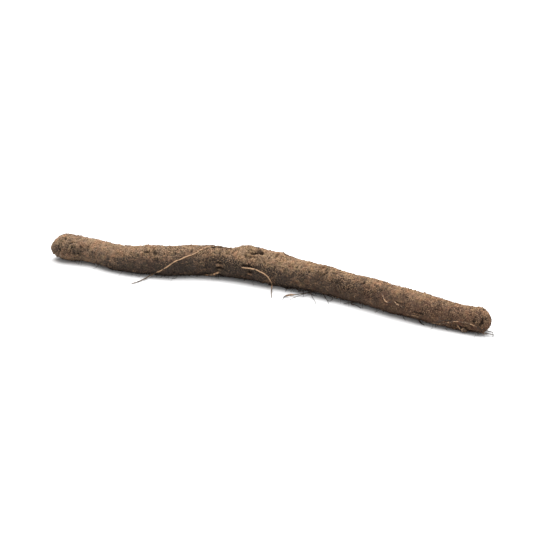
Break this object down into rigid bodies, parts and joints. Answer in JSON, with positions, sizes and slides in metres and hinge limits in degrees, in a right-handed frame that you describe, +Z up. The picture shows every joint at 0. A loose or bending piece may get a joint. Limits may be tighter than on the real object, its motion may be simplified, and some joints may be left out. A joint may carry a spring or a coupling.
{
  "type": "burdock root",
  "caption": "Long, slightly bent taproot with a rounded crown end, a blunt tail end and thin rootlets, lying on its flattened belly.",
  "frame": {"origin": "middle of the footprint, on the surface that the root lies on", "axes": "+X along the root from the crown end to the tail end, +Y towards the side that it bows to, +Z up"},
  "size_m": [0.3677, 0.0653, 0.025],
  "materials": {
    "earthy_bark": "matte brown bark dusted with dried soil, finely wrinkled across, paler on top and darker underneath"
  },
  "bodies": {
    "root": {"burdock_root": "earthy_bark"}
  },
  "joints": []
}
